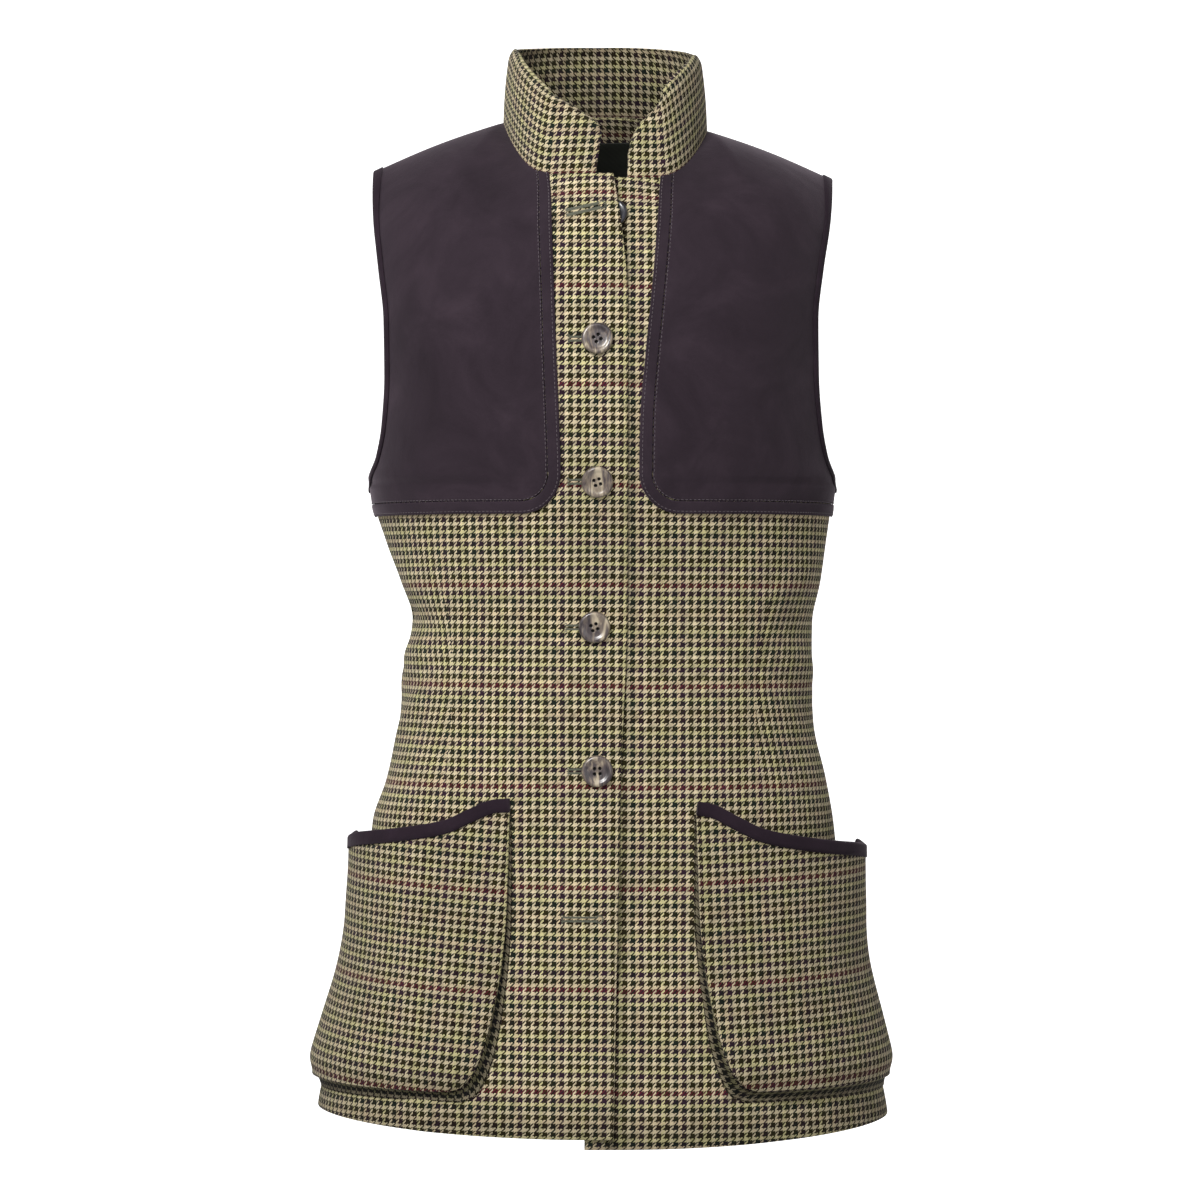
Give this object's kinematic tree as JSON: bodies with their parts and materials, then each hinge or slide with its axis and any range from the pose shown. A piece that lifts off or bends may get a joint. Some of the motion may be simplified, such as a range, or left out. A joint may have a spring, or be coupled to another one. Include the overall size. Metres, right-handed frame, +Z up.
{
  "type": "shooting vest",
  "caption": "Worn, empty tweed shooting vest with a stand collar, suede shoulder patches, button front and two bellows pockets.",
  "frame": {"origin": "midway between the neck points of the two shoulder seams, where the wearer's shoulders hold the vest", "axes": "+Z up, the front faces -Y, +X towards the wearer's left"},
  "size_m": [0.4179, 0.2661, 0.7846],
  "materials": {
    "tweed": "woollen dogtooth check tweed",
    "suede": "dark aubergine suede",
    "lining": "dark green satin lining",
    "horn": "polished mottled horn"
  },
  "bodies": {
    "root": {"front_right": "tweed", "front_left": "tweed", "back": "tweed", "collar": "tweed", "pocket_right": "tweed", "pocket_left": "tweed", "pocket_gusset_right": "tweed", "pocket_gusset_left": "tweed", "patch_right": "suede", "patch_left": "suede", "patch_edge_right": "suede", "patch_edge_left": "suede", "armhole_binding_right": "suede", "armhole_binding_left": "suede", "pocket_binding_right": "suede", "pocket_binding_left": "suede", "back_lining": "lining", "button_1": "horn", "button_2": "horn", "button_3": "horn", "button_4": "horn", "button_5": "horn", "button_6": "horn"}
  },
  "joints": []
}
